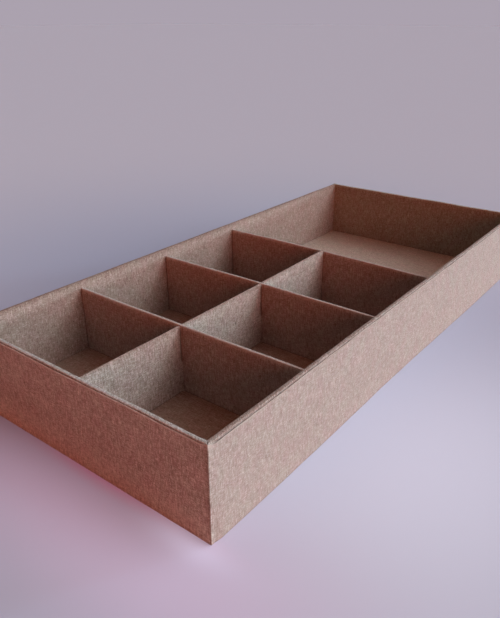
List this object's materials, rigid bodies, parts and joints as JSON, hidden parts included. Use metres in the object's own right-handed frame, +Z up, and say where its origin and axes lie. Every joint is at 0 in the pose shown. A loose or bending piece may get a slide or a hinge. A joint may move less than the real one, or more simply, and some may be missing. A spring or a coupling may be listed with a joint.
{
  "type": "jewelry tray",
  "caption": "Open rectangular tray of cloth-covered board for jewelry, with small compartments in rows at one end and one large bay at the other.",
  "frame": {"origin": "centre of the underside, on the surface that the tray stands on", "axes": "+X along the length, from the small compartments to the large bay; +Y across the width, to the back wall; +Z up, out of the open top"},
  "size_m": [0.446, 0.2, 0.06],
  "materials": {
    "outer_cloth": "matte slubbed linen book cloth",
    "lining_cloth": "matte slubbed linen book cloth",
    "divider_cloth": "matte slubbed linen book cloth",
    "base_cloth": "matte book cloth",
    "greyboard": "raw greyboard",
    "infill_card": "thin card"
  },
  "bodies": {
    "root": {"base_cloth": "base_cloth", "base_infill": "infill_card", "outer_cloth": "outer_cloth", "base_board": "greyboard", "floor_card": "greyboard", "floor_lining": "lining_cloth", "front_wall_board": "greyboard", "front_wall_infill": "infill_card", "front_wall_lining": "lining_cloth", "back_wall_board": "greyboard", "back_wall_infill": "infill_card", "back_wall_lining": "lining_cloth", "left_end_board": "greyboard", "left_end_infill": "infill_card", "left_end_lining": "lining_cloth", "right_end_board": "greyboard", "right_end_infill": "infill_card", "right_end_lining": "lining_cloth", "long_divider_board": "greyboard", "long_divider_cloth": "divider_cloth", "cross_divider_board_1": "greyboard", "cross_divider_cloth_1": "divider_cloth", "cross_divider_board_2": "greyboard", "cross_divider_cloth_2": "divider_cloth", "cross_divider_board_3": "greyboard", "cross_divider_cloth_3": "divider_cloth"}
  },
  "joints": []
}
